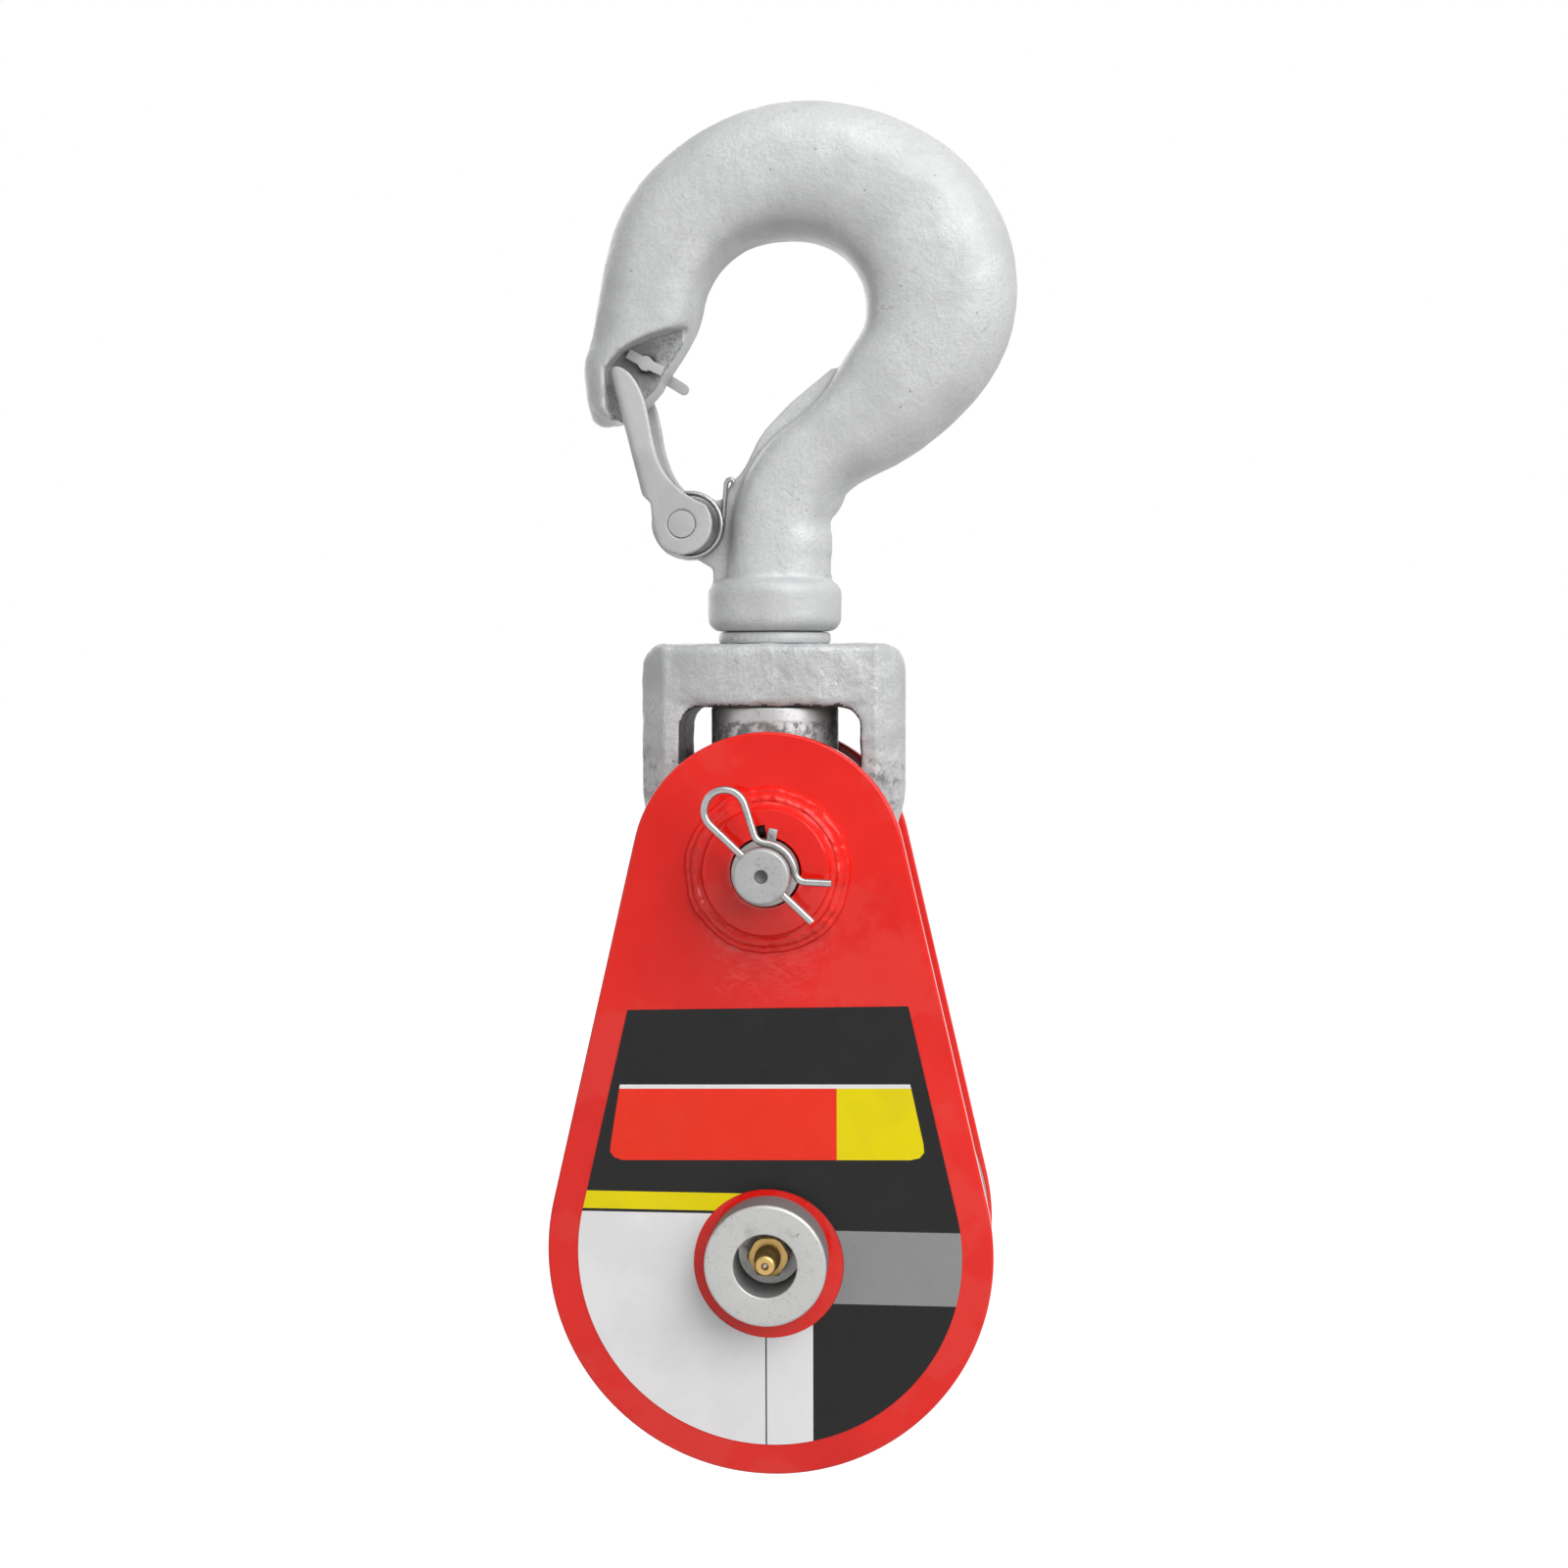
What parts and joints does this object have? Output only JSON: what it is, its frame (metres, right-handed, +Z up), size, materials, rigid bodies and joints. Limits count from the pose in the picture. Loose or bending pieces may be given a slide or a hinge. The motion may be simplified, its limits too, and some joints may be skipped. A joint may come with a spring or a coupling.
{
  "type": "snatch block with swivel latch hook",
  "caption": "Snatch block for wire rope: swivel hook with a sprung latch, forged yoke, red side plates and a grooved sheave on a greased axle.",
  "frame": {"origin": "hook's seat: the top of the throat, on the swivel axis and in the hook's middle plane", "axes": "+Z up the swivel axis towards the hook's back, +X to the right seen from the label, +Y from the front plate to the rear plate"},
  "size_m": [0.1257, 0.0784, 0.3693],
  "materials": {
    "silver_paint": "silver-grey paint over a rough forging",
    "latch_paint": "smooth silver-grey paint on folded sheet",
    "turned_steel": "turned, with dark handling marks",
    "zinc_plate": "dull zinc plate",
    "spring_steel": "bright plated wire",
    "red_paint": "thick glossy red paint",
    "sheave_steel": "dark satin paint",
    "bronze": "machined",
    "brass": "machined",
    "label_film": "satin film with plain fields of colour"
  },
  "bodies": {
    "hook_body": {"hook": "silver_paint", "swivel_nut": "turned_steel", "nut_lock_pin": "turned_steel", "latch_rivet": "latch_paint", "latch_spring": "spring_steel", "tip_cotter": "zinc_plate"},
    "yoke_body": {"yoke": "silver_paint", "thrust_washer": "silver_paint"},
    "block_body": {"front_plate": "red_paint", "rear_plate": "red_paint", "front_boss": "red_paint", "rear_boss": "red_paint", "head_pin": "zinc_plate", "front_side_washer": "zinc_plate", "rear_side_washer": "zinc_plate", "axle": "zinc_plate", "grease_nipple": "brass", "axle_nut_washer": "zinc_plate", "axle_nut": "zinc_plate", "nut_cotter": "spring_steel", "label": "label_film"},
    "sheave_body": {"sheave": "sheave_steel", "sheave_bushing": "bronze"},
    "latch_body": {"latch": "latch_paint"},
    "clip_body": {"hitch_clip": "spring_steel"},
    "ball_body": {"nipple_ball": "spring_steel"}
  },
  "joints": [
    {"name": "hook_swivel", "type": "hinge", "parent": "hook_body", "child": "yoke_body", "pos_m": [0, 0, -0.12], "axis": [0, 0, 1], "continuous": true},
    {"name": "block_swing", "type": "hinge", "parent": "yoke_body", "child": "block_body", "pos_m": [0, 0, -0.1695], "axis": [0, 1, 0], "range_deg": [-75, 75]},
    {"name": "sheave_turn", "type": "hinge", "parent": "block_body", "child": "sheave_body", "pos_m": [0, 0, -0.273], "axis": [0, 1, 0], "continuous": true},
    {"name": "latch_swing", "type": "hinge", "parent": "hook_body", "child": "latch_body", "pos_m": [-0.0239, 0, -0.0774], "axis": [0, 1, 0], "range_deg": [0, 50], "stiffness_Nm_per_rad": 0.15, "springref_deg": -17.19, "deforming": ["latch_spring"]},
    {"name": "clip_pull", "type": "slide", "parent": "block_body", "child": "clip_body", "axis": [-0.7254, 0, 0.6884], "range_m": [0, 0.045], "deforming": ["hitch_clip"]},
    {"name": "ball_press", "type": "slide", "parent": "block_body", "child": "ball_body", "axis": [0, 1, 0], "range_m": [0, 0.0006], "stiffness_N_per_m": 20, "springref_m": -0.001}
  ]
}
